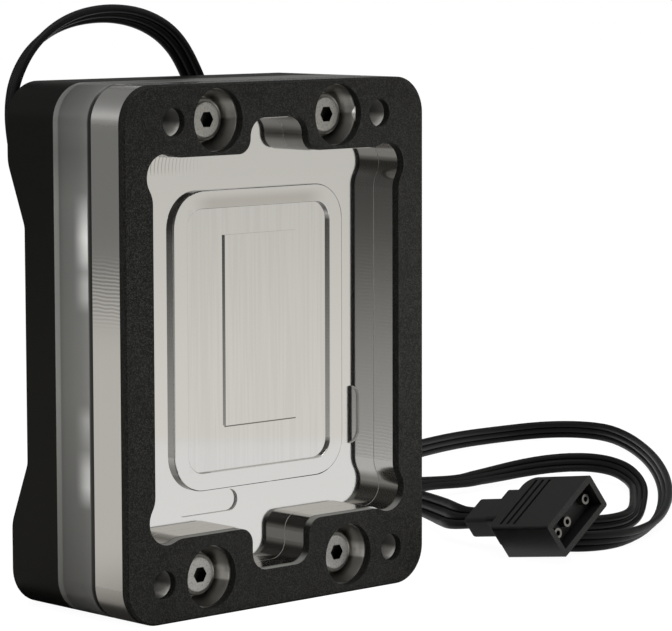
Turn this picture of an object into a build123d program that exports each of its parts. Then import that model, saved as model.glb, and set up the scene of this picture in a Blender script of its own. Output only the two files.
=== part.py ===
from build123d import *
import math
import os

# A direct-die CPU water block, standing on its short end with its CPU side to the front.
# X is width, Y is depth with the CPU side at the low end, Z is up. Millimetres.

# Outline of the whole stack
block_w = 54.0
block_h = 71.0
corner_r = 5.1

# Layers, from the CPU side to the rear
face_t = 1.1
plate_t = 6.1
body_t = 7.4
cover_t = 10.15
valley_t = 6.65
plate_chamfer = 0.5
body_chamfer = 0.4
cover_chamfer = 0.3
face_chamfer = 0.25

# Side view of the cover: lands at the ends, slopes and a valley between, heights of the bends
land_low = 11.5
land_top_wall = 10.9
valley_low = 19.8
valley_top_wall = 19.3
land_bend_r = 5.0
valley_bend_r = 2.0

# CPU window, with round corner reliefs and a notch at each end
window_side_wall = 4.95
window_low = 11.25
window_top_wall = 9.68
window_ledge = 0.12
relief_r = 3.0
relief_out = 1.0
relief_up = 0.6
relief_blend = 3.5
notch_half_share = 0.0935
notch_low = 5.25
notch_top_wall = 4.95
notch_corner_r = 2.4
notch_foot_r = 2.2

# Pocket, raised rim, die pad and shallow slots, depths measured from the face
pocket_depth = 4.9
rim_side_gap = 6.75
rim_low_gap = 4.9
rim_top_gap = 4.77
rim_band = 2.45
rim_corner_r = 5.0
rim_rise = 0.8
rim_edge_r = 0.2
rim_inner_r = 0.12
well_drop = 0.5
die_w = 13.0
die_h = 25.8
die_mid_x = 0.4
die_up = 2.0
die_rise = 0.3
slot_drop = 0.35
side_slot_r = 1.8
side_slot_wall = 4.6
side_slot_low = 19.8
side_slot_high = 27.95
end_slot_r = 1.5
end_slot_left = -14.6
end_slot_right = -3.6
end_slot_z = 14.35

# Fin field on the wet side of the cold plate
fin_field_w = 26.0
fin_field_h = 26.0
fin_pitch = 1.0
fin_gap = 0.5
fin_depth = 1.3

# Mounting holes and clamp screws, two rows with their own spacings, as shares of the width
row_low_z = 5.3
row_top_wall = 4.9
mount_share_low = 0.3833
mount_share_high = 0.3435
mount_hole_d = 3.8
mount_head_d = 7.2
mount_head_depth = 4.0
clamp_share_low = 0.2315
clamp_share_high = 0.2
clamp_recess_d = 8.5
clamp_front_d = 8.2
clamp_seat_d = 6.3
clamp_seat_depth = 4.1
screw_d = 2.9
screw_hole_d = 3.3
screw_head_d = 5.8
screw_head_h = 1.7
screw_dome_r = 0.8
screw_end_gap = 1.0
socket_across = 2.0
socket_depth = 1.2
insert_d = 4.4
insert_len = 4.4
insert_fit = 0.05
thread_fit = 0.05

# Water path
port_half_share = 0.2315
port_up = 0.4
port_bore_d = 11.8
port_face_d = 19.0
port_face_depth = 0.4
body_bore_d = 9.0
chamber_w = 35.0
chamber_h = 36.0
chamber_depth = 4.4
chamber_r = 3.0
jet_t = 1.0
jet_w = 27.0
jet_h = 28.0
jet_slit_w = 1.2
jet_slit_h = 22.0
insert_left = -17.4
insert_right = 5.0
insert_h = 28.0
insert_run_w = 8.0
insert_channel_w = 5.0
insert_channel_depth = 1.8

# Seals
seal_w = 1.7
seal_play = 0.1
seal_depth = 1.4
seal_edge_cut = 0.4
base_seal_off = 1.6
port_seal_off = 0.6

# Light strip in the cover
led_side_wall = 3.7
led_board_w = 4.0
led_board_len = 28.0
led_board_t = 1.0
led_room = 0.2
led_pocket_depth = 3.0
led_count = 5
led_size = 2.2
led_chip_t = 0.9
lead_w = 3.2
lead_t = 1.0

# Cable exit
exit_top_wall = 23.2
exit_side_wall = 9.5
grommet_d = 5.2
grommet_flange_d = 6.4
grommet_flange_t = 0.8
grommet_nose = 0.9
grommet_play = 0.05

# Cable route, points chosen by hand, first at the grommet and last at the plug
cable_d = 3.4
cable_lead_out = 3.0
cable_lead_in = 3.2
cable_route = [
    (-17.6, 16.2, 49.2),
    (-18.3, 17.7, 52.2),
    (-20.3, 17.5, 57),
    (-22.5, 16.6, 62),
    (-23.7, 15.8, 67),
    (-23.1, 15.2, 71.6),
    (-19.9, 15.1, 76),
    (-14.5, 15, 79),
    (-7.4, 15.1, 80),
    (-0.6, 15.4, 79.1),
    (5.1, 15.7, 76.3),
    (9.2, 16.2, 71.2),
    (13.2, 17.2, 63.4),
    (18.6, 18.8, 53),
    (23.2, 21.5, 40),
    (25.6, 25, 27),
    (28.8, 29.4, 14.6),
    (34.2, 34.3, 5.6),
    (42.4, 38.9, 2),
    (54.6, 44.4, 1.75),
    (70, 50.9, 1.75),
    (87, 58.9, 1.75),
    (104, 66.5, 1.75),
    (119, 71.6, 1.75),
    (131, 72.8, 1.8),
    (138.2, 70.9, 2.1),
    (142.7, 66, 2.3),
    (143.7, 59.6, 2.3),
    (141, 52.6, 2.1),
    (135.4, 43.8, 1.8),
    (125, 31, 1.75),
    (111.5, 16.9, 1.75),
    (97.1, 3.6, 1.75),
    (82.2, -7.8, 1.75),
    (71, -14, 1.75),
    (63.4, -15.6, 1.75),
    (58, -13.6, 1.75),
    (55.5, -9, 1.75),
    (56.9, -4.1, 1.75),
    (61.5, -2, 1.75),
    (66.4, -3.7, 1.75),
    (71.2, -6, 1.75),
    (76.6, -5.9, 1.75),
    (82.2, -2.9, 1.75),
    (90.6, 3.9, 1.75),
    (100, 12.3, 1.75),
    (106.2, 17.7, 2.2),
    (110.2, 23.2, 3.1),
    (110.9, 30, 3.7),
    (107.8, 35.8, 3.4),
    (101.8, 38.8, 2.7),
    (93.8, 39, 1.95),
    (85.6, 37.3, 1.8),
    (77.2, 38.2, 2.2),
    (69.8, 36.2, 2.4),
    (64.8, 30.4, 2.6),
    (61.2, 23.4, 2.9),
    (57.6, 16, 3.2),
    (54.4, 10.4, 3.5),
    (52.1, 7, 3.8),
]

# Plug, with its own axes: x across, y up, z out of the mouth
plug_at = (51.2, -19.55, 7.05)
plug_dip = 7.7
plug_roll = 33.5
plug_w = 11.9
plug_h = 5.76
plug_len = 12.4
plug_neck_len = 2.1
plug_wall = 0.9
plug_edge_r = 0.4
plug_shoulder_r = 2.2
plug_shoulder_cut = 1.2
mouth_depth = 7.0
groove_first = 7.3
groove_step = 1.35
groove_count = 3
groove_w = 0.5
groove_depth = 0.3
carrier_recess = 2.2
contact_pitch = 2.54
contact_places = 4
contact_empty = 2
contact_d = 1.5
contact_bore_d = 0.8
contact_recess = 1.1
contact_fit = 0.05
boot_w = 5.2
boot_h = 3.6
boot_len = 6.0
boot_root = 3.0
boot_edge_r = 0.6
boot_tip_r = 0.5
boot_fit = 0.05

# Depths of the layer faces along Y
front_y = -(face_t + plate_t + body_t + cover_t) / 2
plate_y = front_y + face_t
body_y = plate_y + plate_t
cover_y = body_y + body_t
rear_y = cover_y + cover_t
valley_y = cover_y + valley_t
floor_y = front_y + pocket_depth
screw_seat_y = front_y + clamp_seat_depth
screw_tip_y = cover_y + insert_len - screw_end_gap
led_back_y = cover_y + led_pocket_depth
led_board_y = led_back_y - led_board_t
grommet_tip_y = valley_y + grommet_flange_t + grommet_nose

# Heights that are set from the top or from the middle
mid_z = block_h / 2
die_mid_z = mid_z + die_up
port_z = mid_z + port_up
window_high = block_h - window_top_wall
notch_high = block_h - notch_top_wall
row_high_z = block_h - row_top_wall
land_high = block_h - land_top_wall
valley_high = block_h - valley_top_wall
exit_z = block_h - exit_top_wall

# Widths that follow the block
half_w = block_w / 2
window_half_w = half_w - window_side_wall
notch_half_w = notch_half_share * block_w
mount_half_low = mount_share_low * block_w
mount_half_high = mount_share_high * block_w
clamp_half_low = clamp_share_low * block_w
clamp_half_high = clamp_share_high * block_w
port_half_gap = port_half_share * block_w
led_x = led_side_wall - half_w
exit_x = exit_side_wall - half_w

# Rim and side slot, which follow the window
rim_w = 2 * (window_half_w - rim_side_gap)
rim_low = window_low + rim_low_gap
rim_high = window_high - rim_top_gap
side_slot_x = window_half_w - side_slot_wall


def slab(outline, front, back):
    """Solid with a front-view outline, between two depths."""
    return extrude(Plane.XZ.offset(-back) * outline, back - front)


def taper(x, z, front_d, back_d, front, back):
    """Cone with its axis along Y, between two depths."""
    near = Plane.XZ.offset(-front) * Pos(x, z) * Circle(front_d / 2)
    far = Plane.XZ.offset(-back) * Pos(x, z) * Circle(back_d / 2)
    return loft([near, far])


def rounded(width, height, radius, x=0.0, z=0.0):
    return Pos(x, z) * RectangleRounded(width, height, radius)


def block_outline():
    return rounded(block_w, block_h, corner_r, 0, mid_z)


def band(outline, width):
    """Strip of one width that runs just inside an outline."""
    return outline - offset(outline, amount=-width)


def row_points(half_low, half_high):
    low = [(-half_low, row_low_z), (half_low, row_low_z)]
    high = [(-half_high, row_high_z), (half_high, row_high_z)]
    return low + high


mount_points = row_points(mount_half_low, mount_half_high)
clamp_points = row_points(clamp_half_low, clamp_half_high)
port_points = [(-port_half_gap, port_z), (port_half_gap, port_z)]


def discs(points, diameter):
    return Sketch() + [Pos(x, z) * Circle(diameter / 2) for x, z in points]


def corner_at(outline, x, z):
    """Vertices of a flat outline that stand at one place."""
    near = 0.01
    found = outline.vertices()
    return [v for v in found if abs(v.X - x) < near and abs(v.Y - z) < near]


def window_outline():
    """CPU window: rectangle, corner reliefs, end notches and their blends."""
    height = window_high - window_low
    middle = (window_high + window_low) / 2
    outline = Pos(0, middle) * Rectangle(2 * window_half_w, height)
    notch_middle = (notch_high + notch_low) / 2
    outline += Pos(0, notch_middle) * Rectangle(2 * notch_half_w, notch_high - notch_low)
    corner_share = 0.52
    foot_share = 0.47
    for end, foot in ((notch_low, window_low), (notch_high, window_high)):
        wall = abs(end - foot)
        for side in (-1, 1):
            at_end = corner_at(outline, side * notch_half_w, end)
            outline = fillet(at_end, min(notch_corner_r, corner_share * wall))
            at_foot = corner_at(outline, side * notch_half_w, foot)
            outline = fillet(at_foot, min(notch_foot_r, foot_share * wall))
    inset_x = relief_r - relief_out
    inset_z = relief_r - relief_up
    along_side = math.sqrt(relief_r**2 - inset_x**2)
    along_end = math.sqrt(relief_r**2 - inset_z**2)
    centre_x = window_half_w - inset_x
    for end, inward in ((window_low, 1), (window_high, -1)):
        centre_z = end + inward * inset_z
        for side in (-1, 1):
            cut_x = side * (centre_x + inset_x / 2)
            outline -= Pos(cut_x, (end + centre_z) / 2) * Rectangle(inset_x, inset_z)
            outline += Pos(side * centre_x, centre_z) * Circle(relief_r)
    for end, inward in ((window_low, 1), (window_high, -1)):
        side_z = end + inward * (inset_z + along_side)
        for side in (-1, 1):
            at_side = corner_at(outline, side * window_half_w, side_z)
            outline = fillet(at_side, relief_blend)
            at_end = corner_at(outline, side * (centre_x - along_end), end)
            outline = fillet(at_end, relief_blend)
    return outline


def insulator_plate():
    outline = block_outline() - offset(window_outline(), amount=window_ledge)
    outline -= discs(clamp_points, clamp_recess_d)
    outline -= discs(mount_points, mount_hole_d)
    plate = slab(outline, front_y, plate_y)
    rim = plate.faces().sort_by(Axis.Y)[0].outer_wire().edges()
    return chamfer(rim, face_chamfer)


def rim_outline():
    return rounded(rim_w, rim_high - rim_low, rim_corner_r, 0, (rim_high + rim_low) / 2)


def raised_rim():
    rim = slab(band(rim_outline(), rim_band), floor_y - rim_rise, floor_y)
    rim = fillet(rim.faces().sort_by(Axis.Y)[0].outer_wire().edges(), rim_edge_r)
    return fillet(rim.faces().sort_by(Axis.Y)[0].inner_wires().edges(), rim_inner_r)


def die_pad():
    well_y = floor_y - rim_rise + well_drop
    inside = offset(rim_outline(), amount=-rim_band)
    pad = Pos(die_mid_x, die_mid_z) * Rectangle(die_w, die_h)
    return slab(inside, well_y, floor_y) + slab(pad, well_y - die_rise, well_y)


def shallow_slots():
    side_len = side_slot_high - side_slot_low
    side_mid = (side_slot_high + side_slot_low) / 2
    side = Pos(side_slot_x, side_mid) * SlotOverall(side_len, 2 * side_slot_r, rotation=90)
    end_len = end_slot_right - end_slot_left
    end_mid = (end_slot_right + end_slot_left) / 2
    end = Pos(end_mid, end_slot_z) * SlotOverall(end_len, 2 * end_slot_r)
    return slab(side + end, floor_y, floor_y + slot_drop)


def fin_gaps():
    count = int(fin_field_h / fin_pitch)
    lines = GridLocations(fin_field_w, fin_pitch, 1, count)
    gaps = Sketch() + [spot * Rectangle(fin_field_w, fin_gap) for spot in lines]
    return slab(Pos(0, port_z) * gaps, body_y - fin_depth, body_y)


def cold_plate():
    plate = slab(block_outline(), plate_y, body_y)
    rear_rim = plate.faces().sort_by(Axis.Y)[-1].outer_wire().edges()
    plate = chamfer(rear_rim, plate_chamfer)
    plate -= slab(window_outline(), plate_y, floor_y)
    plate -= shallow_slots()
    plate += raised_rim()
    plate += die_pad()
    for x, z in clamp_points:
        plate -= taper(x, z, clamp_front_d, clamp_seat_d, plate_y, screw_seat_y)
    plate -= slab(discs(clamp_points, screw_hole_d), plate_y, body_y)
    plate -= slab(discs(mount_points, mount_hole_d), plate_y, body_y)
    return plate - fin_gaps()


def base_seal_outline():
    grown = base_seal_off + seal_w
    return rounded(chamber_w + 2 * grown, chamber_h + 2 * grown, chamber_r + grown, 0, port_z)


def port_seal_outline(x):
    return Pos(x, port_z) * Circle(port_bore_d / 2 + port_seal_off + seal_w)


def seal_ring(outline, front):
    """Squeezed rubber ring that fills the depth of its groove."""
    body = slab(band(outline, seal_w), front, front + seal_depth)
    ends = body.faces().filter_by(Axis.Y)
    return chamfer(ends.edges(), seal_edge_cut)


def seal_groove(outline, front):
    strip = band(offset(outline, amount=seal_play), seal_w + 2 * seal_play)
    return slab(strip, front, front + seal_depth)


def light_body():
    """Clear body: water chamber in front, port bores behind, seal grooves in both faces."""
    body = slab(block_outline(), body_y, cover_y)
    rims = body.faces().sort_by(Axis.Y)
    body = chamfer(rims[0].outer_wire().edges(), body_chamfer)
    chamber = rounded(chamber_w, chamber_h, chamber_r, 0, port_z)
    body -= slab(chamber, body_y, body_y + chamber_depth)
    body -= slab(discs(port_points, body_bore_d), body_y, cover_y)
    body -= slab(discs(clamp_points, screw_hole_d), body_y, cover_y)
    body -= slab(discs(mount_points, mount_hole_d), body_y, cover_y)
    body -= seal_groove(base_seal_outline(), body_y)
    for x, z in port_points:
        body -= seal_groove(port_seal_outline(x), cover_y - seal_depth)
    return body


def jet_plate():
    outline = rounded(jet_w, jet_h, chamber_r, 0, port_z)
    outline -= Pos(0, port_z) * SlotOverall(jet_slit_h, jet_slit_w, rotation=90)
    return slab(outline, body_y, body_y + jet_t)


def flow_insert():
    """Insert behind the jet plate: a T-shaped channel from the inlet bore to the slit."""
    front = body_y + jet_t
    back = body_y + chamber_depth
    width = insert_right - insert_left
    middle = (insert_right + insert_left) / 2
    shape = slab(rounded(width, insert_h, chamber_r, middle, port_z), front, back)
    run = Pos(-port_half_gap / 2, port_z) * SlotCenterToCenter(port_half_gap, insert_run_w)
    rise_h = jet_slit_h + insert_channel_w - jet_slit_w
    rise = Pos(0, port_z) * SlotOverall(rise_h, insert_channel_w, rotation=90)
    shape -= slab(run + rise, back - insert_channel_depth, back)
    slit = Pos(0, port_z) * SlotOverall(jet_slit_h, jet_slit_w, rotation=90)
    return shape - slab(slit, front, back)


def cover_profile():
    """Side view of the cover: a land at each end, a valley between, soft bends."""
    outline = Polyline(
        (cover_y, 0),
        (rear_y, 0),
        (rear_y, land_low),
        (valley_y, valley_low),
        (valley_y, valley_high),
        (rear_y, land_high),
        (rear_y, block_h),
        (cover_y, block_h),
        close=True,
    )
    face = make_face(outline)
    for z in (land_low, land_high):
        face = fillet(corner_at(face, rear_y, z), land_bend_r)
    for z in (valley_low, valley_high):
        face = fillet(corner_at(face, valley_y, z), valley_bend_r)
    return face


def rear_rim(cover):
    """Edges where the cover's rear meets its side walls."""
    flat = 0.01
    rear = cover.faces().filter_by(lambda face: face.normal_at().Y > flat)
    walls = cover.faces().filter_by(lambda face: abs(face.normal_at().Y) < flat)
    wall_edges = walls.edges()
    return [edge for edge in rear.edges() if edge in wall_edges]


def led_pocket():
    """Room for the light board, with an arm that leads its wires to the exit."""
    board = Pos(led_x, mid_z) * Rectangle(led_board_w + 2 * led_room, led_board_len + 2 * led_room)
    arm_end = exit_x + lead_t / 2 + led_room
    arm = Pos((led_x + arm_end) / 2, exit_z) * Rectangle(arm_end - led_x, lead_w + 2 * led_room)
    return slab(board + arm, cover_y, led_back_y)


def rear_cover():
    """Cover: valley profile, two threaded ports, screw-head recesses and the light pocket."""
    side_view = Plane.YZ.offset(-half_w) * cover_profile()
    cover = extrude(side_view, block_w) & slab(block_outline(), cover_y, rear_y)
    cover = chamfer(rear_rim(cover), cover_chamfer)
    cover -= slab(discs(port_points, port_bore_d), cover_y, rear_y)
    cover -= slab(discs(port_points, port_face_d), valley_y - port_face_depth, rear_y)
    cover -= slab(discs(mount_points, mount_hole_d), cover_y, rear_y)
    cover -= slab(discs(mount_points, mount_head_d), rear_y - mount_head_depth, rear_y)
    pocket_d = insert_d + 2 * insert_fit
    cover -= slab(discs(clamp_points, pocket_d), cover_y, cover_y + insert_len)
    cover -= led_pocket()
    exit_hole = Pos(exit_x, exit_z) * Circle(grommet_d / 2 + grommet_play)
    return cover - slab(exit_hole, cover_y, rear_y)


def clamp_screw(x, z):
    """Button-head screw with a hex socket, its head towards the CPU side."""
    head_y = screw_seat_y - screw_head_h
    head = slab(Pos(x, z) * Circle(screw_head_d / 2), head_y, screw_seat_y)
    head = fillet(head.faces().sort_by(Axis.Y)[0].edges(), screw_dome_r)
    shank = slab(Pos(x, z) * Circle(screw_d / 2), screw_seat_y, screw_tip_y)
    hexagon = Pos(x, z) * RegularPolygon(socket_across / 2, 6, major_radius=False)
    return head + shank - slab(hexagon, head_y, head_y + socket_depth)


def clamp_screws():
    return [clamp_screw(x, z) for x, z in clamp_points]


def threaded_inserts():
    bore_d = screw_d + 2 * thread_fit
    pieces = []
    for x, z in clamp_points:
        outline = Pos(x, z) * (Circle(insert_d / 2) - Circle(bore_d / 2))
        pieces.append(slab(outline, cover_y, cover_y + insert_len))
    return pieces


def led_board():
    outline = Pos(led_x, mid_z) * Rectangle(led_board_w, led_board_len)
    return slab(outline, led_board_y, led_back_y)


def led_chips():
    spots = GridLocations(led_size, led_board_len / led_count, 1, led_count)
    chips = [Pos(led_x, mid_z) * spot * Rectangle(led_size, led_size) for spot in spots]
    return [slab(chip, led_board_y - led_chip_t, led_board_y) for chip in chips]


def led_lead():
    """Flat wires from the side of the light board across to the exit, then out through the grommet."""
    board_side = led_x + led_board_w / 2
    across = Pos((board_side + exit_x) / 2, exit_z) * Rectangle(exit_x - board_side, lead_w)
    out = Pos(exit_x, exit_z) * Rectangle(lead_t, lead_w)
    return slab(across, led_back_y - lead_t, led_back_y) + slab(out, led_back_y - lead_t, grommet_tip_y)


def cable_grommet():
    """Rubber grommet: sleeve in the cover, flange on the valley, tapered nose."""
    sleeve = slab(Pos(exit_x, exit_z) * Circle(grommet_d / 2), led_back_y, valley_y)
    flange_back = valley_y + grommet_flange_t
    flange = slab(Pos(exit_x, exit_z) * Circle(grommet_flange_d / 2), valley_y, flange_back)
    nose = taper(exit_x, exit_z, grommet_d, cable_d + 2 * grommet_play, flange_back, grommet_tip_y)
    bore = Pos(exit_x, exit_z) * Rectangle(lead_t, lead_w)
    return sleeve + flange + nose - slab(bore, led_back_y, grommet_tip_y)


plug_place = Location(plug_at) * Rot(X=90 - plug_dip) * Rot(Z=plug_roll)
neck_end = plug_len + plug_neck_len
boot_end = neck_end + boot_len


def plug_point(back):
    """Point on the plug's axis, that far behind its mouth."""
    return (plug_place * Pos(0, 0, -back)).position


def cable():
    """Tube along straight runs and arcs, each arc as large as its runs allow."""
    start = Vector(exit_x, grommet_tip_y, exit_z)
    points = [start, start + Vector(0, cable_lead_out, 0)]
    points += [Vector(*p) for p in cable_route]
    points += [plug_point(boot_end + cable_lead_in), plug_point(boot_end)]
    share = 0.45
    radii = []
    for a, b, c in zip(points, points[1:], points[2:]):
        turn = math.radians((b - a).get_angle(c - b))
        shorter = min((b - a).length, (c - b).length)
        radii.append(share * shorter / math.tan(turn / 2))
    path = FilletPolyline(*points, radius=radii)
    section = Plane(origin=path @ 0, z_dir=path % 0) * Circle(cable_d / 2)
    tube = sweep(section, path=path)
    expected = path.length * math.pi * cable_d**2 / 4
    runs = [(b - a).length for a, b in zip(points, points[1:])]
    print("cable length", round(path.length, 1), "volume ratio", round(tube.volume / expected, 4))
    print("cable arc radii", [round(r, 1) for r in radii])
    print("cable runs", [round(r, 1) for r in runs])
    return tube


def plug_outline():
    """Plan view of the plug housing: wide body, one round and one cut shoulder, narrow neck."""
    body = Pos(0, -plug_len / 2) * Rectangle(plug_w, plug_len)
    body = fillet(corner_at(body, plug_w / 2, -plug_len), plug_shoulder_r)
    body = chamfer(corner_at(body, -plug_w / 2, -plug_len), plug_shoulder_cut)
    return body


def plug_shell():
    """Moulded plug housing with an open mouth, grip grooves on top and a socket for the boot."""
    shell = slab(plug_outline(), -plug_h / 2, plug_h / 2)
    long_edges = shell.edges().filter_by(Axis.Z)
    shell = fillet(long_edges, plug_edge_r)
    neck_w = boot_w + 2 * plug_wall
    neck_h = min(boot_h + 2 * plug_wall, plug_h)
    neck = Pos(0, 0, -neck_end) * extrude(RectangleRounded(neck_w, neck_h, boot_edge_r), plug_neck_len)
    mouth = extrude(Rectangle(plug_w - 2 * plug_wall, plug_h - 2 * plug_wall), -mouth_depth)
    socket_w = boot_w + 2 * boot_fit
    socket_h = boot_h + 2 * boot_fit
    socket = RectangleRounded(socket_w, socket_h, boot_edge_r + boot_fit)
    shell = shell + neck - mouth - Pos(0, 0, -neck_end) * extrude(socket, boot_root)
    groove_len = plug_w - 2 * plug_wall
    for i in range(groove_count):
        back = groove_first + i * groove_step
        shell -= Pos(0, plug_h / 2, -back) * Box(groove_len, 2 * groove_depth, groove_w)
    return plug_place * shell


def contact_spots():
    middle = (contact_places - 1) / 2
    return [Pos((i - middle) * contact_pitch, 0) for i in range(contact_places) if i != contact_empty]


def plug_carrier():
    """Block at the bottom of the mouth, bored for the contacts."""
    width = plug_w - 2 * (plug_wall + contact_fit)
    height = plug_h - 2 * (plug_wall + contact_fit)
    outline = Rectangle(width, height)
    for spot in contact_spots():
        outline -= spot * Circle(contact_d / 2 + contact_fit)
    block = extrude(Plane.XY.offset(-mouth_depth) * outline, mouth_depth - carrier_recess)
    return plug_place * block


def plug_contacts():
    tube = Circle(contact_d / 2) - Circle(contact_bore_d / 2)
    length = mouth_depth - contact_recess
    pieces = [extrude(Plane.XY.offset(-mouth_depth) * spot * tube, length) for spot in contact_spots()]
    return [plug_place * piece for piece in pieces]


def plug_boot():
    """Soft tail that carries the cable out of the housing."""
    outline = RectangleRounded(boot_w, boot_h, boot_edge_r)
    boot = extrude(Plane.XY.offset(-boot_end) * outline, boot_len + boot_root)
    boot = fillet(boot.faces().sort_by(Axis.Z)[0].edges(), boot_tip_r)
    return plug_place * boot


pieces = {
    "insulator_plate": insulator_plate(),
    "cold_plate": cold_plate(),
    "base_seal": seal_ring(base_seal_outline(), body_y),
    "jet_plate": jet_plate(),
    "flow_insert": flow_insert(),
    "light_body": light_body(),
    "inlet_seal": seal_ring(port_seal_outline(-port_half_gap), cover_y - seal_depth),
    "outlet_seal": seal_ring(port_seal_outline(port_half_gap), cover_y - seal_depth),
    "rear_cover": rear_cover(),
    "threaded_inserts": threaded_inserts(),
    "clamp_screws": clamp_screws(),
    "led_board": led_board(),
    "led_chips": led_chips(),
    "led_lead": led_lead(),
    "cable_grommet": cable_grommet(),
    "cable": cable(),
    "plug_shell": plug_shell(),
    "plug_carrier": plug_carrier(),
    "plug_contacts": plug_contacts(),
    "plug_boot": plug_boot(),
}

os.makedirs("parts", exist_ok=True)
for name, shape in pieces.items():
    solids = shape if isinstance(shape, list) else shape.solids()
    export_step(Compound(children=list(solids)), f"parts/{name}.step")
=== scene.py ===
import math

import bmesh
import bpy
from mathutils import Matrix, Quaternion, Vector


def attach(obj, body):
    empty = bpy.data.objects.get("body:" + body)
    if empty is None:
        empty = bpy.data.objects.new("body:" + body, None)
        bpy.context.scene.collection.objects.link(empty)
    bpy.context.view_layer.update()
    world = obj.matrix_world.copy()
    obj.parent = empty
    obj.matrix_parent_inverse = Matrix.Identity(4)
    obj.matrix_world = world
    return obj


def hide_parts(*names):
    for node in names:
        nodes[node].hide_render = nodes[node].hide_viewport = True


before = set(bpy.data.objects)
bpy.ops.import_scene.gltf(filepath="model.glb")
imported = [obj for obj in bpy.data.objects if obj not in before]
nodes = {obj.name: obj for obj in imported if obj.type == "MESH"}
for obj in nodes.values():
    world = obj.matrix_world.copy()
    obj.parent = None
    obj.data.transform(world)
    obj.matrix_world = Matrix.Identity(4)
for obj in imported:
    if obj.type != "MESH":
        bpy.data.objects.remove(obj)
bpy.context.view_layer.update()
scene = bpy.context.scene
mm = 0.001
print("frame loaded,", len(nodes), "nodes")

# camera at the viewing angle of the picture, millimetres
pictureView = {
    "place": (-301.89, -346.445, 87.04),
    "aim": (21.6, -0.23, 36.91),
    "roll": -0.15,
    "lens": 180.05,
    "sensor": 36.0,
    "nearest": 10.0,
}


def placeCamera(v):
    data = bpy.data.cameras.new("pictureCamera")
    data.lens = v["lens"]
    data.sensor_fit = "HORIZONTAL"
    data.sensor_width = v["sensor"]
    data.clip_start = v["nearest"] * mm
    cam = bpy.data.objects.new("pictureCamera", data)
    scene.collection.objects.link(cam)
    cam.location = Vector(v["place"]) * mm
    away = Vector(v["aim"]) - Vector(v["place"])
    turn = away.to_track_quat("-Z", "Y") @ Quaternion((0, 0, 1), math.radians(v["roll"]))
    cam.rotation_euler = turn.to_euler()
    scene.camera = cam


placeCamera(pictureView)
print("camera placed")

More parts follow.
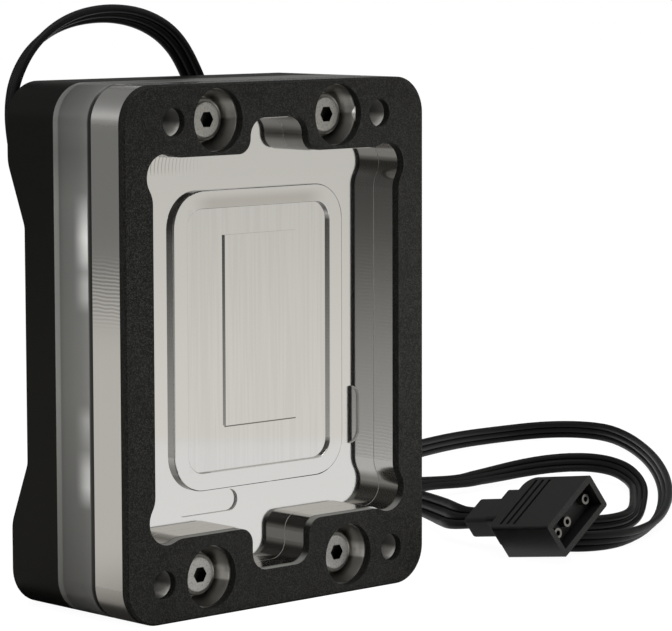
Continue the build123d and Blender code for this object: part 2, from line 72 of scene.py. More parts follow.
# flat three-wire lead, millimetres: the route is the CAD route. The tables below it go by the number
# of the route point, and the edge ways say where the flat width points
lightLead = {
    "width": 3.4,
    "wire": 1.17,
    "wireFacets": 3,
    "pitch": 1.12,
    "length": 552.1,
    "floorGap": 0.03,
    "routeHeight": 1.75,
    "routeSteps": 10,
    "route": [
        (-17.5, 10.575, 47.8), (-17.5, 13.575, 47.8), (-17.6, 16.2, 49.2), (-18.3, 17.7, 52.2),
        (-20.3, 17.5, 57), (-22.5, 16.6, 62), (-23.7, 15.8, 67), (-23.1, 15.2, 71.6),
        (-19.9, 15.1, 76), (-14.5, 15, 79), (-7.4, 15.1, 80), (-0.6, 15.4, 79.1),
        (5.1, 15.7, 76.3), (9.2, 16.2, 71.2), (13.2, 17.2, 63.4), (18.6, 18.8, 53),
        (23.2, 21.5, 40), (25.6, 25, 27), (28.8, 29.4, 14.6), (34.2, 34.3, 5.6),
        (42.4, 38.9, 2), (54.6, 44.4, 1.75), (70, 50.9, 1.75), (87, 58.9, 1.75),
        (104, 66.5, 1.75), (119, 71.6, 1.75), (131, 72.8, 1.8), (138.2, 70.9, 2.1),
        (142.7, 66, 2.3), (143.7, 59.6, 2.3), (141, 52.6, 2.1), (135.4, 43.8, 1.8),
        (125, 31, 1.75), (111.5, 16.9, 1.75), (97.1, 3.6, 1.75), (82.2, -7.8, 1.75),
        (71, -14, 1.75), (63.4, -15.6, 1.75), (58, -13.6, 1.75), (55.5, -9, 1.75),
        (56.9, -4.1, 1.75), (61.5, -2, 1.75), (66.4, -3.7, 1.75), (71.2, -6, 1.75),
        (76.6, -5.9, 1.75), (82.2, -2.9, 1.75), (90.6, 3.9, 1.75), (100, 12.3, 1.75),
        (106.2, 17.7, 2.2), (110.2, 23.2, 3.1), (110.9, 30, 3.7), (107.8, 35.8, 3.4),
        (101.8, 38.8, 2.7), (93.8, 39, 1.95), (85.6, 37.3, 1.8), (77.2, 38.2, 2.2),
        (69.8, 36.2, 2.4), (64.8, 30.4, 2.6), (61.2, 23.4, 2.9), (57.6, 16, 3.2),
        (54.4, 10.4, 3.5), (52.1, 7, 3.8), (51.2, 3.938, 3.873), (51.2, 0.767, 4.301),
    ],
    "edgeWays": {
        0: (0, 0, -1), 1: (0, 0, -1), 2.5: (0.1, 0.6, -0.75), 4: (0.35, 0.93, 0),
        6: (0.43, 0.9, 0.1), 8: (0.2, 0.85, -0.4), 10: (0, 0.72, -0.69),
        12: (-0.55, 0.5, -0.4), 12.8: (0.1, 0.9, -0.3), 13.8: (-0.9, 0.15, 0),
        16: (-0.8, 0.2, -0.4), 19: (-0.3, 0.3, -0.9), 21: (-0.06, 0.11, -0.99),
        24: (-0.1, 0.25, -0.96), 26: (0.03, 0.44, -0.9), 28: (0.4, 0.18, -0.9),
        30: (0.17, -0.06, -0.98), 32: (-0.05, 0.05, -1), 34: (-0.4, 0.48, -0.78),
        36: (-0.3, 0.7, -0.6), 38: (0.3, 0.3, -0.9), 41: (0, 0.2, -1),
        44: (-0.13, 0.45, -0.88), 45: (0.07, -0.1, -0.99), 46: (0.39, -0.45, -0.8),
        47: (0.49, -0.53, -0.69), 48: (0.71, -0.63, -0.32), 49: (0.82, -0.37, 0.44),
        50: (0.67, 0.11, 0.73), 51: (0.38, 0.48, 0.79), 52: (0.07, 0.64, 0.77),
        53: (-0.11, 0.81, 0.58), 55: (-0.06, 0.98, 0.16), 56.5: (-0.3, 0.5, 0.6),
        58: (0, 0, 1), 60: (0.39, -0.18, 0.9), 63: (0.834, 0.074, 0.547),
    },
    "spread": {0: 0.9, 2: 1.0, 56: 1.0, 58.5: 1.15, 60: 1.26, 62: 1.26, 63: 1.15},
    "sink": {0: 0.0, 18.5: 0.0, 21: 1.0, 56: 1.0, 59: 0.0, 63: 0.0},
    "lift": {
        0: 0.0, 18: 0.0, 20: 1.9, 22: 1.8, 24: 0.8, 26: 0.0,
        52: 0.0, 54: 1.0, 56: 1.0, 58: 0.0, 63: 0.0,
    },
    "slack": {0: 0, 28: 0, 30: 6, 36: 6, 38: 0, 44: 0, 46: 9, 51: 9, 53: 0, 63: 0},
    "easeSteps": 9,
}


def between(keys, place):
    marks = sorted(keys)
    for a, b in zip(marks, marks[1:]):
        if place <= b:
            t = (place - a) / (b - a)
            if isinstance(keys[a], tuple):
                return Vector(keys[a]).lerp(Vector(keys[b]), t)
            return keys[a] * (1 - t) + keys[b] * t
    return Vector(keys[marks[-1]]) if isinstance(keys[marks[-1]], tuple) else keys[marks[-1]]


def routePoints(v):
    curve = bpy.data.curves.new("leadRoute", "CURVE")
    curve.dimensions = "3D"
    curve.resolution_u = v["routeSteps"]
    spline = curve.splines.new("NURBS")
    spline.points.add(len(v["route"]) - 1)
    for p, co in zip(spline.points, v["route"]):
        p.co = (co[0] * mm, co[1] * mm, co[2] * mm, 1)
    spline.order_u = 3
    spline.use_endpoint_u = True
    holder = bpy.data.objects.new("leadRoute", curve)
    scene.collection.objects.link(holder)
    bpy.context.view_layer.update()
    line = bpy.data.meshes.new_from_object(holder)
    found = [corner.co.copy() for corner in line.vertices]
    bpy.data.objects.remove(holder)
    bpy.data.meshes.remove(line)
    return found


def makeLead(v):
    line = routePoints(v)
    last = len(line) - 1
    places = [i / last * (len(v["route"]) - 1) for i in range(last + 1)]
    ways = [between(v["edgeWays"], place) for place in places]
    rises, sides, widths, middles = [], [], [], []
    for i, place in enumerate(places):
        along = (line[min(i + 1, last)] - line[max(i - 1, 0)]).normalized()
        # each edge way eases into the next one
        near = ways[max(i - v["easeSteps"], 0):i + v["easeSteps"] + 1]
        side = sum(near, Vector()) / len(near)
        side = (side - along * side.dot(along)).normalized()
        widths.append(between(v["spread"], place))
        spread = widths[-1] * v["pitch"]
        # the flat stretches sink until they touch the floor
        tall = abs(side.z) * spread + v["wire"] / 2 + v["floorGap"]
        rises.append(between(v["sink"], place) * (tall - v["routeHeight"]) + between(v["lift"], place))
        sides.append(side * spread * mm)
        # where the lead lies slack, its bends open a little
        slack = round(between(v["slack"], place))
        near = line[max(i - slack, 0):i + slack + 1]
        middles.append(sum(near, Vector()) / len(near))
    centres = []
    for i, p in enumerate(middles):
        near = rises[max(i - v["easeSteps"], 0):i + v["easeSteps"] + 1]
        centres.append(p + Vector((0, 0, max(rises[i], sum(near) / len(near)) * mm)))
    curve = bpy.data.curves.new("lightLead", "CURVE")
    curve.dimensions = "3D"
    curve.bevel_depth = v["wire"] / 2 * mm
    curve.bevel_resolution = v["wireFacets"]
    curve.use_fill_caps = True
    for lane in (-1, 0, 1):
        spline = curve.splines.new("POLY")
        spline.points.add(last)
        for q, c, s, wide in zip(spline.points, centres, sides, widths):
            q.co = (*(c + s * lane), 1)
            q.radius = max(wide, 1.0)  # no gap opens where the wires spread
    holder = bpy.data.objects.new("leadWires", curve)
    scene.collection.objects.link(holder)
    bpy.context.view_layer.update()
    mesh = bpy.data.meshes.new_from_object(holder)
    bpy.data.objects.remove(holder)
    mesh.name = "lightLead"
    for face in mesh.polygons:
        face.use_smooth = True
    lead = bpy.data.objects.new("lightLead", mesh)
    scene.collection.objects.link(lead)
    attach(lead, "root")
    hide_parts("cable")
    return lead


lead = makeLead(lightLead)
print("light lead laid,", len(lead.data.polygons), "faces")

# standard thread in the two rear ports, cut as one spun ridge per port, millimetres
portThread = {
    "boreR": 5.9,
    "crest": 0.28,
    "crestHalf": 0.08,
    "rootSink": 0.05,
    "flankShare": 0.46,
    "pitch": 1.337,
    "turns": 4,
    "steps": 48,
    "startY": 2.75,
    "height": 35.9,
    "across": 12.501,
    "weld": 1e-4,
}


def cutThread(v, x, name):
    bm = bmesh.new()
    half = v["pitch"] * v["flankShare"]
    root, top = v["boreR"] + v["rootSink"], v["boreR"] - v["crest"]
    rows = [(root, -half), (top, -v["crestHalf"]), (top, v["crestHalf"]), (root, half)]
    ring = [bm.verts.new(((x + r) * mm, (v["startY"] + dy) * mm, v["height"] * mm)) for r, dy in rows]
    edges = [bm.edges.new((a, b)) for a, b in zip(ring, ring[1:])]
    bmesh.ops.spin(bm, geom=ring + edges, cent=(x * mm, 0, v["height"] * mm), axis=(0, 1, 0),
                   dvec=(0, v["pitch"] / v["steps"] * mm, 0), angle=v["turns"] * math.tau,
                   steps=v["turns"] * v["steps"])
    bmesh.ops.remove_doubles(bm, verts=bm.verts, dist=v["weld"] * mm)
    bmesh.ops.recalc_face_normals(bm, faces=bm.faces)
    mesh = bpy.data.meshes.new(name)
    bm.to_mesh(mesh)
    bm.free()
    for face in mesh.polygons:
        face.use_smooth = True
    piece = bpy.data.objects.new(name, mesh)
    scene.collection.objects.link(piece)
    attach(piece, "root")
    return piece


threads = [cutThread(portThread, side * portThread["across"], name)
           for side, name in ((-1, "inletThread"), (1, "outletThread"))]
print("port threads cut")


def hexColour(code):
    parts = [int(code[i:i + 2], 16) / 255 for i in (1, 3, 5)]
    return (*[c / 12.92 if c <= 0.04045 else ((c + 0.055) / 1.055) ** 2.4 for c in parts], 1)


# settings that many nodes share
times = {"operation": "MULTIPLY"}
timesPlus = {"operation": "MULTIPLY_ADD"}
less = {"operation": "SUBTRACT"}
most = {"operation": "MAXIMUM"}
below = {"operation": "LESS_THAN"}
above = {"operation": "GREATER_THAN"}
apart = {"operation": "DISTANCE"}
unsigned = {"operation": "ABSOLUTE"}
eased = {"interpolation_type": "SMOOTHSTEP"}
inColour = {"data_type": "RGBA"}
inNumber = {"data_type": "FLOAT"}


def addNode(tree, kind, settings=None, links=None):
    node = tree.nodes.new("ShaderNode" + kind)
    for name, value in (settings or {}).items():
        setattr(node, name, value)
    for name, value in (links or {}).items():
        if isinstance(value, bpy.types.Node):  # a node stands for the first output that it uses
            value = next(out for out in value.outputs if out.enabled)
        if isinstance(value, bpy.types.NodeSocket):
            tree.links.new(value, node.inputs[name])
        else:
            node.inputs[name].default_value = value
    return node


def newMaterial(name):
    mat = bpy.data.materials.new(name)
    mat.use_nodes = True
    tree = mat.node_tree
    tree.nodes.clear()
    skin = addNode(tree, "BsdfPrincipled")
    addNode(tree, "OutputMaterial", links={"Surface": skin})
    # places on the piece in millimetres
    spot = addNode(tree, "VectorMath", {"operation": "SCALE"},
                   {0: addNode(tree, "TexCoord").outputs["Object"], "Scale": 1 / mm})
    return mat, tree, skin, spot.outputs["Vector"]


# glass-fibre insulator with a sprayed grain: black, dry, with a fine speckle of grey grains
insulatorFinish = {
    "dark": "#080807",
    "grain": "#232321",
    "grainMm": 0.16,
    "grainRange": (0.44, 0.7),
    "rough": 0.6,
    "specular": 0.1,
    "bumpMm": 0.02,
    "bumpStrength": 0.5,
    # painted highlight along the window's cut edge where it faces up: its tone, the facing where it starts and
    # is full, and the middle and half height of its band
    "cutEdgeHighlight": "#666663",
    "cutEdgeFacing": (0.4, 0.85),
    "cutEdgeMiddle": 10.5,
    "cutEdgeHalf": 5.4,
}


def grainedInsulator(v):
    mat, tree, skin, spot = newMaterial("grainedBlackInsulator")
    grains = addNode(tree, "TexNoise", links={"Vector": spot, "Scale": 1 / v["grainMm"], "Detail": 1.0})
    speckle = addNode(tree, "ValToRGB", links={"Fac": grains})
    for stop, at, tone in zip(speckle.color_ramp.elements, v["grainRange"], (v["dark"], v["grain"])):
        stop.position = at
        stop.color = hexColour(tone)
    # painted highlight: the cut edge of the window low in the plate is painted pale where it faces up
    facing = addNode(tree, "SeparateXYZ", links={"Vector": addNode(tree, "NewGeometry").outputs["Normal"]})
    place = addNode(tree, "SeparateXYZ", links={"Vector": spot})
    upward = addNode(tree, "MapRange", eased, {
        "Value": facing.outputs["Z"],
        "From Min": v["cutEdgeFacing"][0],
        "From Max": v["cutEdgeFacing"][1],
    })
    low = addNode(tree, "Math", {"operation": "COMPARE"},
                  {0: place.outputs["Z"], 1: v["cutEdgeMiddle"], 2: v["cutEdgeHalf"]})
    share = addNode(tree, "Math", times, {0: upward, 1: low})
    colour = addNode(tree, "Mix", inColour, {0: share, 6: speckle, 7: hexColour(v["cutEdgeHighlight"])})
    tree.links.new(colour.outputs[2], skin.inputs["Base Color"])
    bump = addNode(tree, "Bump", links={
        "Height": grains,
        "Distance": v["bumpMm"] * mm,
        "Strength": v["bumpStrength"],
    })
    tree.links.new(bump.outputs["Normal"], skin.inputs["Normal"])
    skin.inputs["Roughness"].default_value = v["rough"]
    skin.inputs["Specular IOR Level"].default_value = v["specular"]
    return mat


# copper milled and then nickel plated: warm silver, mirror-like on the pocket's floor, satin on its outside
nickelFinish = {
    "colour": "#cccbc9",
    "floorRough": 0.07,
    "sideRough": 0.16,
    "streakMm": 0.4,
    "streakLongMm": 18.0,
    "streakShare": 0.024,
    "wobbleMm": 3.0,
    # marks of the cutter: their pitch, and how far the wobble sways them
    "waves": {"chatter": (0.5, 5.0), "scallop": (0.62, 0.0), "ring": (0.5, 6.0)},
    "scallopMiddle": 59.6,
    "scallopBow": 0.12,
    "ringMiddle": (-23.4, 0, 61.4),
    "chatterDeepMm": 0.006,
    "chatterStrength": 0.6,
    "pocketChatter": 0.2,
    "patchChatter": 0.55,
    # zones of the plate: a row names an earlier zone, or a measure with where the zone starts and is full
    "zones": {
        "flat": (("square", 0.75, 0.97),),
        "inside": (("across", 25.51, 25.5), ("z", 2.99, 3), ("z", 68.01, 68)),
        "wall": (("square", 0.97, 0.75), "inside"),
        "patch": (("z", 38.5, 42), ("z", 50, 46)),
        "well": (("across", 12.81, 12.8), ("z", 18.69, 18.7), ("z", 54.11, 54.1)),
        "streaks": ("well", ("streak", 0.62, 0.38)),
        "scallops": (
            "flat", "inside", ("scallop", 0.3, 0.95), ("z", 58.6, 59.8), ("z", 61.8, 61.0), ("x", -8.0, -20.8),
        ),
        "rings": ("flat", "inside", ("ring", 0.3, 0.95), ("reach", 3.2, 2.24)),
        "lowRelief": ("wall", ("z", 15.5, 14), ("across", 16.5, 18)),
        "highRelief": ("wall", ("z", 56.8, 58.6)),
        "lowNotch": ("wall", ("z", 11.01, 11), ("across", 8.01, 8)),
        "highNotch": ("wall", ("z", 59.99, 60), ("across", 8.01, 8)),
        "rim": (("across", 15.41, 15.4), ("z", 15.99, 16), ("z", 56.61, 56.6)),
        "underside": ("rim", ("up", -0.2, -0.6)),
        "highBend": ("rim", "wall", ("x", -8.99, -9), ("z", 49, 53)),
        "lowBend": ("rim", "wall", ("x", -8.99, -9), ("z", 22, 19)),
        "rimTop": ("flat", ("z", 54.09, 54.1), ("z", 56.4, 54.9), ("across", 12.8, 8)),
        "padFoot": (("z", 24.379, 24.38), ("z", 24.601, 24.6), ("x", -6.101, -6.1), ("x", 6.901, 6.9)),
        "padSide": (("z", 24.599, 24.6), ("z", 50.401, 50.4), ("x", 6.899, 6.9), ("x", 6.971, 6.97)),
        "foot": ("wall", ("y", -7.546, -7.545), ("rim", 1, 0)),
        "lowCorner": (("inside", 1, 0), ("z", 6.5, 4)),
        "highCorner": (("inside", 1, 0), ("z", 64.5, 67), ("z", 70.9, 70.2)),
    },
    # streaks in the well, cutter marks, painted shade in the reliefs and the lower notch, painted shade on
    # steps that turn away from the light, along the die pad's lower and right edges and round the rim's bends,
    # a painted shade band on the rim's upper band, and the dull line at the foot of the walls
    "tones": (
        ("#c8c7c5", {"streaks": 1}),
        ("#a5a39f", {"scallops": 1, "rings": 1}),
        # painted shade in the pocket's corner reliefs
        ("#8b8985", {"lowRelief": 1, "highRelief": 1}),
        # painted shade in the lower notch
        ("#74726f", {"lowNotch": 1}),
        # painted shade on downward steps, along the die pad's lower and right edges and round the rim's bends
        ("#6b6966", {"underside": 1, "padFoot": 1, "padSide": 0.75, "highBend": 0.75, "lowBend": 0.75}),
        # painted shade band on the rim's upper band
        ("#b9b7b3", {"rimTop": 1}),
        ("#8c8a86", {"foot": 1}),
    ),
    # the outside is brushed softer round its corners, and the upper notch is duller than the walls beside it
    "roughZones": {"lowCorner": 0.34, "highCorner": 0.34, "highNotch": 0.42},
    # drilled mounting holes are dull. Holes and turned screw seats are painted darker as painted shade, with a
    # painted highlight in one wedge:
    # each place is x and z of the axis, then where the painted highlight starts and ends above it
    "bores": (
        {
            "places": ((20.698, 5.3, -1.7, -0.5), (18.549, 66.1, -1.9, -0.4)),
            "reach": 3.8, "colour": "#605f5d", "paintedGlint": "#d2d0cb", "rough": 0.4, "metalLoss": 1.0,
        },
        {
            "places": ((12.501, 5.3, -1.0, 0.9), (10.8, 66.1, 0.1, 2.5)),
            "reach": 4.4, "colour": "#a09e9a", "paintedGlint": "#f0eeea", "rough": 0.3, "metalLoss": 0.0,
        },
    ),
    "paintedGlintSoft": (0.2, 0.5),
}


def milledNickel(v):
    mat, tree, skin, spot = newMaterial("milledNickelPlate")
    place = addNode(tree, "SeparateXYZ", links={"Vector": spot})
    facing = addNode(tree, "SeparateXYZ", links={"Vector": addNode(tree, "NewGeometry").outputs["Normal"]})
    x, z = place.outputs["X"], place.outputs["Z"]
    across = addNode(tree, "Math", unsigned, {0: x})
    # upright passes of the cutter, and a wobble that keeps its other marks from looking ruled
    fine, long = 1 / v["streakMm"], 1 / v["streakLongMm"]
    stretch = addNode(tree, "Mapping", links={"Vector": spot, "Scale": (fine, fine, long)})
    streak = addNode(tree, "TexNoise", links={"Vector": stretch, "Scale": 1.0, "Detail": 2.0})
    wobble = addNode(tree, "TexNoise", links={"Vector": spot, "Scale": 1 / v["wobbleMm"], "Detail": 1.0})
    # level chatter on the walls, bowed scallops along the pocket's upper edge, rings in its corner
    bow = addNode(tree, "Math", less, {0: z, 1: v["scallopMiddle"]})
    bow = addNode(tree, "Math", {"operation": "POWER"}, {0: bow, 1: 2.0})
    bowed = addNode(tree, "Math", timesPlus, {0: bow, 1: -v["scallopBow"], 2: x})
    onFace = addNode(tree, "CombineXYZ", links={"X": x, "Z": z})
    reach = addNode(tree, "VectorMath", apart, {0: onFace, 1: v["ringMiddle"]})
    waves = {}
    for name, along in (("chatter", z), ("scallop", bowed), ("ring", reach)):
        pitch, sway = v["waves"][name]
        shift = addNode(tree, "Math", times, {0: wobble, 1: sway})
        turn = addNode(tree, "Math", timesPlus, {0: along, 1: math.tau / pitch, 2: shift})
        waves[name] = addNode(tree, "Math", {"operation": "SINE"}, {0: turn})
    # square tells how squarely the surface faces the CPU, and up how far it faces up
    measures = {
        "x": x,
        "y": place.outputs["Y"],
        "z": z,
        "across": across,
        "square": addNode(tree, "Math", unsigned, {0: facing.outputs["Y"]}),
        "up": facing.outputs["Z"],
        "streak": streak,
        "scallop": waves["scallop"],
        "ring": waves["ring"],
        "reach": reach,
    }
    zones = {}
    for name, rows in v["zones"].items():
        share = 1.0
        for row in rows:
            if isinstance(row, str):
                edge = zones[row]
            else:
                measure, start, full = row
                value = zones[measure] if measure in zones else measures[measure]
                edge = addNode(tree, "MapRange", eased, {"Value": value, "From Min": start, "From Max": full})
            share = addNode(tree, "Math", times, {0: share, 1: edge})
        zones[name] = share
    # the walls of the pocket chatter all over, the outside in one worn patch, and the floor is streaked
    patch = addNode(tree, "Math", times, {0: zones["patch"], 1: v["patchChatter"]})
    share = addNode(tree, "Mix", inNumber, {0: zones["inside"], 2: patch, 3: v["pocketChatter"]})
    chatter = addNode(tree, "Math", times, {0: waves["chatter"], 1: share})
    faint = addNode(tree, "Math", times, {0: streak, 1: v["streakShare"]})
    height = addNode(tree, "Mix", inNumber, {0: zones["flat"], 2: chatter, 3: faint})
    bump = addNode(tree, "Bump", links={
        "Height": height,
        "Distance": v["chatterDeepMm"] * mm,
        "Strength": v["chatterStrength"],
    })
    tree.links.new(bump.outputs["Normal"], skin.inputs["Normal"])
    colour = hexColour(v["colour"])
    for tone, strengths in v["tones"]:
        share = 0.0
        for name, strength in strengths.items():
            part = addNode(tree, "Math", times, {0: zones[name], 1: strength})
            share = addNode(tree, "Math", most, {0: share, 1: part})
        colour = addNode(tree, "Mix", inColour, {0: share, 6: colour, 7: hexColour(tone)})
    rough = addNode(tree, "MapRange", links={
        "Value": zones["flat"],
        "To Min": v["sideRough"],
        "To Max": v["floorRough"],
    })
    for name, value in v["roughZones"].items():
        rough = addNode(tree, "Mix", inNumber, {0: zones[name], 2: rough, 3: value})
    metal = addNode(tree, "Math", less, {0: 1.0, 1: zones["foot"]})
    # holes and seats are the same on the left and the right
    mirrored = addNode(tree, "CombineXYZ", links={"X": across, "Z": z})
    startSoft, endSoft = v["paintedGlintSoft"]
    for bore in v["bores"]:
        for boreX, boreZ, low, high in bore["places"]:
            away = addNode(tree, "VectorMath", apart, {0: mirrored, 1: (boreX, 0, boreZ)})
            near = addNode(tree, "Math", below, {0: away, 1: bore["reach"]})
            start = addNode(tree, "MapRange", eased, {
                "Value": z,
                "From Min": boreZ + low - startSoft,
                "From Max": boreZ + low + startSoft,
            })
            end = addNode(tree, "MapRange", eased, {
                "Value": z,
                "From Min": boreZ + high + endSoft,
                "From Max": boreZ + high - endSoft,
            })
            paintedGlint = addNode(tree, "Math", times, {0: start, 1: end})
            tone = addNode(tree, "Mix", inColour,
                           {0: paintedGlint, 6: hexColour(bore["colour"]), 7: hexColour(bore["paintedGlint"])})
            colour = addNode(tree, "Mix", inColour, {0: near, 6: colour, 7: tone})
            rough = addNode(tree, "Mix", inNumber, {0: near, 2: rough, 3: bore["rough"]})
            metal = addNode(tree, "Math", timesPlus, {0: near, 1: -bore["metalLoss"], 2: metal})
    tree.links.new(colour.outputs[2], skin.inputs["Base Color"])
    tree.links.new(rough.outputs[0], skin.inputs["Roughness"])
    tree.links.new(metal.outputs[0], skin.inputs["Metallic"])
    return mat


# cast acrylic, milled at the edge: grey and cloudy from the side, with painted light and shade for the light
# it carries, and painted pools of light near its front edge
acrylicFinish = {
    # tone by depth, rear to front: painted light and shade of the light carried through the acrylic, ending in
    # the dark line at the seam with the plate
    "depths": (
        (2.2, "#6e6e6b"), (1.3, "#696967"), (1.05, "#4c4c4a"), (0.2, "#545452"),
        (-3.2, "#60605e"), (-4.78, "#6b6b69"), (-4.9, "#262624"), (-5.2, "#1c1c1b"),
    ),
    # painted shade by height: darker towards the bottom and the top
    "heights": (
        (0, 0.38), (9, 0.55), (14, 0.65), (30, 0.98), (56, 1.0), (62, 0.7), (65, 0.8), (71, 0.6),
    ),
    # painted pools of light by height near the front edge
    "paintedLightPools": (
        (0, 0), (15, 0), (18, 0.6), (20.5, 0.5), (23, 0.1), (27, 0.3), (29, 0), (41, 0),
        (43, 0.4), (45, 0.45), (46.5, 0.2), (48, 0.6), (51, 1), (57, 0), (71, 0),
    ),
    "paintedPoolColour": "#c8c8c6",
    "poolDepth": (-1.6, -4.7),
    "seamDepth": -4.78,
    "ior": 1.49,
    "rough": 0.3,
    "specular": 0.3,
}


def milledAcrylic(v):
    mat, tree, skin, spot = newMaterial("milledAcrylic")
    place = addNode(tree, "SeparateXYZ", links={"Vector": spot})
    shades = {}
    for name, axis in (("depths", "Y"), ("heights", "Z"), ("paintedLightPools", "Z")):
        stops = sorted(v[name])
        low, high = stops[0][0], stops[-1][0]
        share = addNode(tree, "MapRange",
                        links={"Value": place.outputs[axis], "From Min": low, "From Max": high})
        shades[name] = addNode(tree, "ValToRGB", links={"Fac": share})
        marks = shades[name].color_ramp.elements
        marks.remove(marks[1])
        for i, (at, tone) in enumerate(stops):
            along = (at - low) / (high - low)
            mark = marks.new(along) if i else marks[0]
            mark.position = along
            mark.color = hexColour(tone) if isinstance(tone, str) else (tone, tone, tone, 1)
    # the painted pools of light fade out behind the front edge, and stop at the seam with the plate
    edge = addNode(tree, "MapRange", eased, {
        "Value": place.outputs["Y"],
        "From Min": v["poolDepth"][0],
        "From Max": v["poolDepth"][1],
    })
    seam = addNode(tree, "Math", above, {0: place.outputs["Y"], 1: v["seamDepth"]})
    pooled = addNode(tree, "Math", times, {0: shades["paintedLightPools"], 1: edge})
    pooled = addNode(tree, "Math", times, {0: pooled, 1: seam})
    tone = addNode(tree, "Mix", {"data_type": "RGBA", "blend_type": "MULTIPLY"},
                   {0: 1.0, 6: shades["depths"], 7: shades["heights"]})
    tone = addNode(tree, "Mix", inColour, {0: pooled, 6: tone, 7: hexColour(v["paintedPoolColour"])})
    tree.links.new(tone.outputs[2], skin.inputs["Base Color"])
    skin.inputs["IOR"].default_value = v["ior"]
    skin.inputs["Roughness"].default_value = v["rough"]
    skin.inputs["Specular IOR Level"].default_value = v["specular"]
    return mat


# steel with a dull zinc plate: light grey satin heads, with painted shade in the socket
screwFinish = {
    "colour": "#969591",
    "fleck": "#7d7c79",
    "fleckMm": 0.25,
    "fleckRange": (0.5, 0.7),
    "rough": 0.3,
    "axes": ((12.501, 5.3), (10.8, 66.1)),
    "socketR": 1.2,
    "socketDip": 0.02,
    "socketShade": "#3e3d3b",
}


def platedScrew(v):
    mat, tree, skin, spot = newMaterial("zincPlatedSteel")
    headFront = min(corner.co.y for corner in nodes["clamp_screws"].data.vertices) / mm
    flecks = addNode(tree, "TexNoise", links={"Vector": spot, "Scale": 1 / v["fleckMm"], "Detail": 2.0})
    share = addNode(tree, "MapRange", links={
        "Value": flecks,
        "From Min": v["fleckRange"][0],
        "From Max": v["fleckRange"][1],
    })
    colour = addNode(tree, "Mix", inColour, {0: share, 6: hexColour(v["colour"]), 7: hexColour(v["fleck"])})
    place = addNode(tree, "SeparateXYZ", links={"Vector": spot})
    across = addNode(tree, "Math", unsigned, {0: place.outputs["X"]})
    onFace = addNode(tree, "CombineXYZ", links={"X": across, "Z": place.outputs["Z"]})
    # painted shade in each socket: below the head's face and near the axis, the colour turns dark
    sunk = addNode(tree, "Math", above, {0: place.outputs["Y"], 1: headFront + v["socketDip"]})
    for x, z in v["axes"]:
        away = addNode(tree, "VectorMath", apart, {0: onFace, 1: (x, 0, z)})
        near = addNode(tree, "Math", below, {0: away, 1: v["socketR"]})
        near = addNode(tree, "Math", times, {0: near, 1: sunk})
        colour = addNode(tree, "Mix", inColour, {0: near, 6: colour, 7: hexColour(v["socketShade"])})
    tree.links.new(colour.outputs[2], skin.inputs["Base Color"])
    skin.inputs["Metallic"].default_value = 1.0
    skin.inputs["Roughness"].default_value = v["rough"]
    return mat


# plain finishes: colour, roughness, metal share and specular of a real material, with its grain in millimetres
plainFinishes = {
    # acetal milled and bead blasted: deep black, soft and even
    "blastedBlackAcetal": {
        "colour": "#0b0b0a", "rough": 0.5, "metal": 0, "specular": 0.07,
        "grainMm": 0.12, "grainDeepMm": 0.006,
    },
    # thermoplastic elastomer skin: black satin with a faint sheen along each wire
    "satinBlackElastomer": {
        "colour": "#090909", "rough": 0.5, "metal": 0, "specular": 0.1,
        "grainMm": 0.3, "grainDeepMm": 0.003,
    },
    # moulded nylon: black, with an eroded grain that keeps it from shining
    "mouldedBlackNylon": {
        "colour": "#0b0b0b", "rough": 0.48, "metal": 0, "specular": 0.27,
        "grainMm": 0.22, "grainDeepMm": 0.03,
    },
    # nitrile rubber, moulded: matt near-black
    "mattBlackRubber": {
        "colour": "#161616", "rough": 0.75, "metal": 0, "specular": 0.3,
        "grainMm": 0.25, "grainDeepMm": 0.01,
    },
    # tinned phosphor bronze: soft bright metal
    "tinnedBronze": {
        "colour": "#73726f", "rough": 0.3, "metal": 1, "specular": 0.5,
        "grainMm": 0.2, "grainDeepMm": 0.002,
    },
    # stainless sheet, etched: grey satin metal
    "etchedStainless": {
        "colour": "#a9a9a6", "rough": 0.35, "metal": 1, "specular": 0.5,
        "grainMm": 0.15, "grainDeepMm": 0.003,
    },
    # turned brass: yellow metal, satin
    "turnedBrass": {
        "colour": "#c8a458", "rough": 0.3, "metal": 1, "specular": 0.5,
        "grainMm": 0.2, "grainDeepMm": 0.002,
    },
    # white solder mask over glass laminate: half gloss
    "whiteSolderMask": {
        "colour": "#e6e6e2", "rough": 0.35, "metal": 0, "specular": 0.5,
        "grainMm": 0.3, "grainDeepMm": 0.003,
    },
    # silicone lens of a light chip: milky and smooth
    "milkySilicone": {
        "colour": "#dcd8c4", "rough": 0.2, "metal": 0, "specular": 0.5,
        "grainMm": 0.5, "grainDeepMm": 0.001,
    },
}
grainStrength = 0.6


def plainMaterial(name, v):
    mat, tree, skin, spot = newMaterial(name)
    skin.inputs["Base Color"].default_value = hexColour(v["colour"])
    skin.inputs["Metallic"].default_value = v["metal"]
    skin.inputs["Roughness"].default_value = v["rough"]
    skin.inputs["Specular IOR Level"].default_value = v["specular"]
    grain = addNode(tree, "TexNoise", links={"Vector": spot, "Scale": 1 / v["grainMm"], "Detail": 2.0})
    bump = addNode(tree, "Bump", links={
        "Height": grain,
        "Distance": v["grainDeepMm"] * mm,
        "Strength": grainStrength,
    })
    tree.links.new(bump.outputs["Normal"], skin.inputs["Normal"])
    return mat


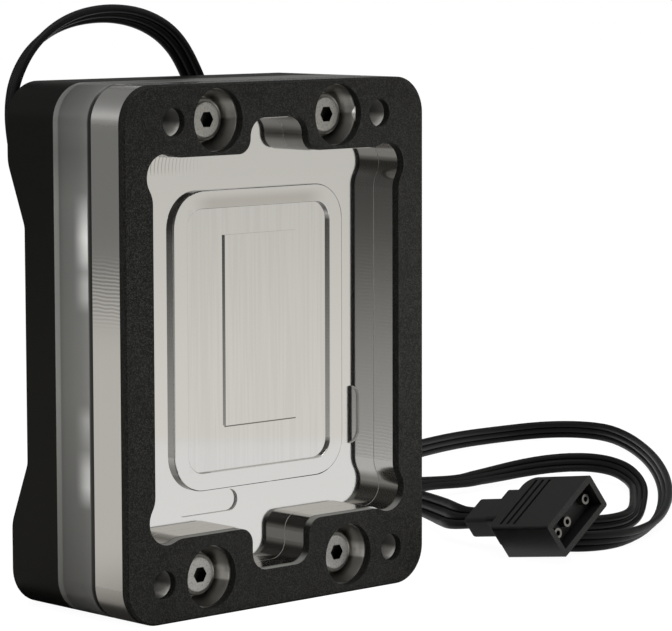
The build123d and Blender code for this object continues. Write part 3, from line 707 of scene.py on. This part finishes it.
made = {name: plainMaterial(name, v) for name, v in plainFinishes.items()}
finishOf = {
    "insulator_plate": grainedInsulator(insulatorFinish),
    "cold_plate": milledNickel(nickelFinish),
    "light_body": milledAcrylic(acrylicFinish),
    "rear_cover": made["blastedBlackAcetal"],
    "clamp_screws": platedScrew(screwFinish),
    "base_seal": made["mattBlackRubber"],
    "inlet_seal": made["mattBlackRubber"],
    "outlet_seal": made["mattBlackRubber"],
    "jet_plate": made["etchedStainless"],
    "flow_insert": made["blastedBlackAcetal"],
    "threaded_inserts": made["turnedBrass"],
    "led_board": made["whiteSolderMask"],
    "led_chips": made["milkySilicone"],
    "led_lead": made["satinBlackElastomer"],
    "cable_grommet": made["mattBlackRubber"],
    "cable": made["satinBlackElastomer"],
    "plug_shell": made["mouldedBlackNylon"],
    "plug_carrier": made["mouldedBlackNylon"],
    "plug_contacts": made["tinnedBronze"],
    "plug_boot": made["mattBlackRubber"],
}


def dress(piece, mat):
    slots = piece.data.materials
    if not slots:
        slots.append(mat)
    for i in range(len(slots)):
        slots[i] = mat


for name, mat in finishOf.items():
    dress(nodes[name], mat)
dress(lead, finishOf["cable"])
for piece in threads:
    dress(piece, finishOf["rear_cover"])
print("finishes on,", len(bpy.data.materials), "materials")

# pale floor and soft studio light, with cards that only the bright metal mirrors, millimetres and watts
studio = {
    "floorSize": 4000.0,
    "floorColour": "#f2f2f0",
    "floorWhite": 1.06,
    "skyLight": 0.6,
    "shadowShare": 0.1,
    "lampAim": (0, 0, 35),
    "lamps": {
        "topLamp": {"place": (-120, -260, 620), "size": 500, "power": 3.2, "spread": 180},
        "sideLamp": {"place": (-520, -120, 300), "size": 300, "power": 0.8, "spread": 180},
        "rightLamp": {"place": (95, -100, 45), "size": 60, "power": 0.031, "spread": 50, "unmirrored": True},
    },
    # standing cards turn to the block, and a card's tone goes from low to high between two heights
    "cards": {
        "leftCard": {
            "place": (-108, 79, 0), "wide": 260, "tall": 86,
            "low": "#dcd9d3", "high": "#858583", "from": 23.5, "to": 39,
        },
        "backCard": {
            "place": (306, 327, 40), "wide": 900, "tall": 320,
            "low": "#585858", "high": "#585858", "from": 0, "to": 1,
        },
        "highBackCard": {
            "place": (30, 230, 130), "wide": 700, "tall": 400,
            "low": "#dadad8", "high": "#6c6c6a", "from": 0, "to": 110,
        },
        # floor beside the block for the metal to mirror, with a painted shadow darkening it near the block
        "leftFloorShadowCard": {
            "place": (-83, 40, 0.03), "wide": 110, "tall": 120, "lying": True,
            "low": "#8f8b85", "high": "#dcd9d3", "from": 5, "to": 60,
        },
        "highFrontCard": {
            "place": (-40, -230, 130), "wide": 700, "tall": 400,
            "low": "#4a4a49", "high": "#4a4a49", "from": 0, "to": 1,
        },
        "cameraCard": {
            "place": (-75, -90, 0), "wide": 260, "tall": 160,
            "low": "#dcdcda", "high": "#626260", "from": 2, "to": 48,
        },
        "rightCard": {
            "place": (102, -120, 0), "wide": 300, "tall": 130,
            "low": "#fffcf6", "high": "#e9e7e2", "from": 0, "to": 60,
        },
        # painted shadow: a dark sheet on the floor right of the block that the metal mirrors
        "plugShadowCard": {
            "place": (36.5, 2, 0.03), "wide": 19, "tall": 70, "lying": True,
            "low": "#141414", "high": "#141414", "from": 0, "to": 1,
        },
        # painted shadow: a dark sheet under the block that the metal mirrors
        "underShadowCard": {
            "place": (0, 2, 0.02), "wide": 56, "tall": 30, "lying": True,
            "low": "#2a2826", "high": "#2a2826", "from": 0, "to": 1,
        },
    },
}


def seenDirectly(tree):
    rays = addNode(tree, "LightPath")
    seen = addNode(tree, "Math", most, {0: rays.outputs["Is Camera Ray"], 1: rays.outputs["Is Glossy Ray"]})
    return addNode(tree, "Math", most, {0: seen, 1: rays.outputs["Is Transmission Ray"]})


def layFloor(v):
    bm = bmesh.new()
    bmesh.ops.create_grid(bm, x_segments=1, y_segments=1, size=v["floorSize"] / 2 * mm)
    mesh = bpy.data.meshes.new("studioFloor")
    bm.to_mesh(mesh)
    bm.free()
    floor = bpy.data.objects.new("studioFloor", mesh)
    scene.collection.objects.link(floor)
    mat = bpy.data.materials.new("paintedFloor")
    mat.use_nodes = True
    tree = mat.node_tree
    tree.nodes.clear()
    paint = addNode(tree, "BsdfDiffuse", links={"Color": hexColour(v["floorColour"])})
    white = addNode(tree, "Emission", links={"Strength": v["floorWhite"]})
    share = addNode(tree, "Math", times, {0: seenDirectly(tree), 1: 1 - v["shadowShare"]})
    both = addNode(tree, "MixShader", links={0: share, 1: paint, 2: white})
    addNode(tree, "OutputMaterial", links={"Surface": both})
    mesh.materials.append(mat)


def standCard(name, v):
    bm = bmesh.new()
    bmesh.ops.create_grid(bm, x_segments=1, y_segments=1, size=0.5)
    bmesh.ops.scale(bm, vec=(v["wide"] * mm, v["tall"] * mm, 1), verts=bm.verts)
    mesh = bpy.data.meshes.new(name)
    bm.to_mesh(mesh)
    bm.free()
    card = bpy.data.objects.new(name, mesh)
    scene.collection.objects.link(card)
    card.location = Vector(v["place"]) * mm
    if "lying" not in v:
        card.location.z += v["tall"] / 2 * mm
        toBlock = Vector((-v["place"][0], -v["place"][1], 0))
        card.rotation_euler = toBlock.to_track_quat("Z", "Y").to_euler()
    mat = bpy.data.materials.new(name)
    mat.use_nodes = True
    tree = mat.node_tree
    tree.nodes.clear()
    place = addNode(tree, "SeparateXYZ", links={"Vector": addNode(tree, "TexCoord").outputs["Object"]})
    up = addNode(tree, "MapRange", eased, {
        "Value": place.outputs["Y"],
        "From Min": (v["from"] - v["tall"] / 2) * mm,
        "From Max": (v["to"] - v["tall"] / 2) * mm,
    })
    tone = addNode(tree, "Mix", inColour, {0: up, 6: hexColour(v["low"]), 7: hexColour(v["high"])})
    lit = addNode(tree, "Emission", links={"Color": tone})
    addNode(tree, "OutputMaterial", links={"Surface": lit})
    mesh.materials.append(mat)
    card.visible_camera = False
    card.visible_diffuse = False
    card.visible_shadow = False
    card.visible_transmission = False


def hangLamp(name, v, aim):
    data = bpy.data.lights.new(name, "AREA")
    data.size = v["size"] * mm
    data.energy = v["power"]
    data.spread = math.radians(v["spread"])
    lamp = bpy.data.objects.new(name, data)
    scene.collection.objects.link(lamp)
    lamp.location = Vector(v["place"]) * mm
    lamp.rotation_euler = (Vector(aim) * mm - lamp.location).to_track_quat("-Z", "Y").to_euler()
    lamp.visible_glossy = "unmirrored" not in v


def lightSky(v):
    world = bpy.data.worlds.new("studioSky")
    scene.world = world
    world.use_nodes = True
    tree = world.node_tree
    tree.nodes.clear()
    lit = addNode(tree, "Background", links={"Color": (1, 1, 1, 1), "Strength": v["skyLight"]})
    white = addNode(tree, "Background", links={"Color": (1, 1, 1, 1), "Strength": 1.0})
    both = addNode(tree, "MixShader", links={0: seenDirectly(tree), 1: lit, 2: white})
    addNode(tree, "OutputWorld", links={"Surface": both})


layFloor(studio)
for name, card in studio["cards"].items():
    standCard(name, card)
for name, lamp in studio["lamps"].items():
    hangLamp(name, lamp, studio["lampAim"])
lightSky(studio)
scene.view_settings.view_transform = "Standard"
print("studio lit")
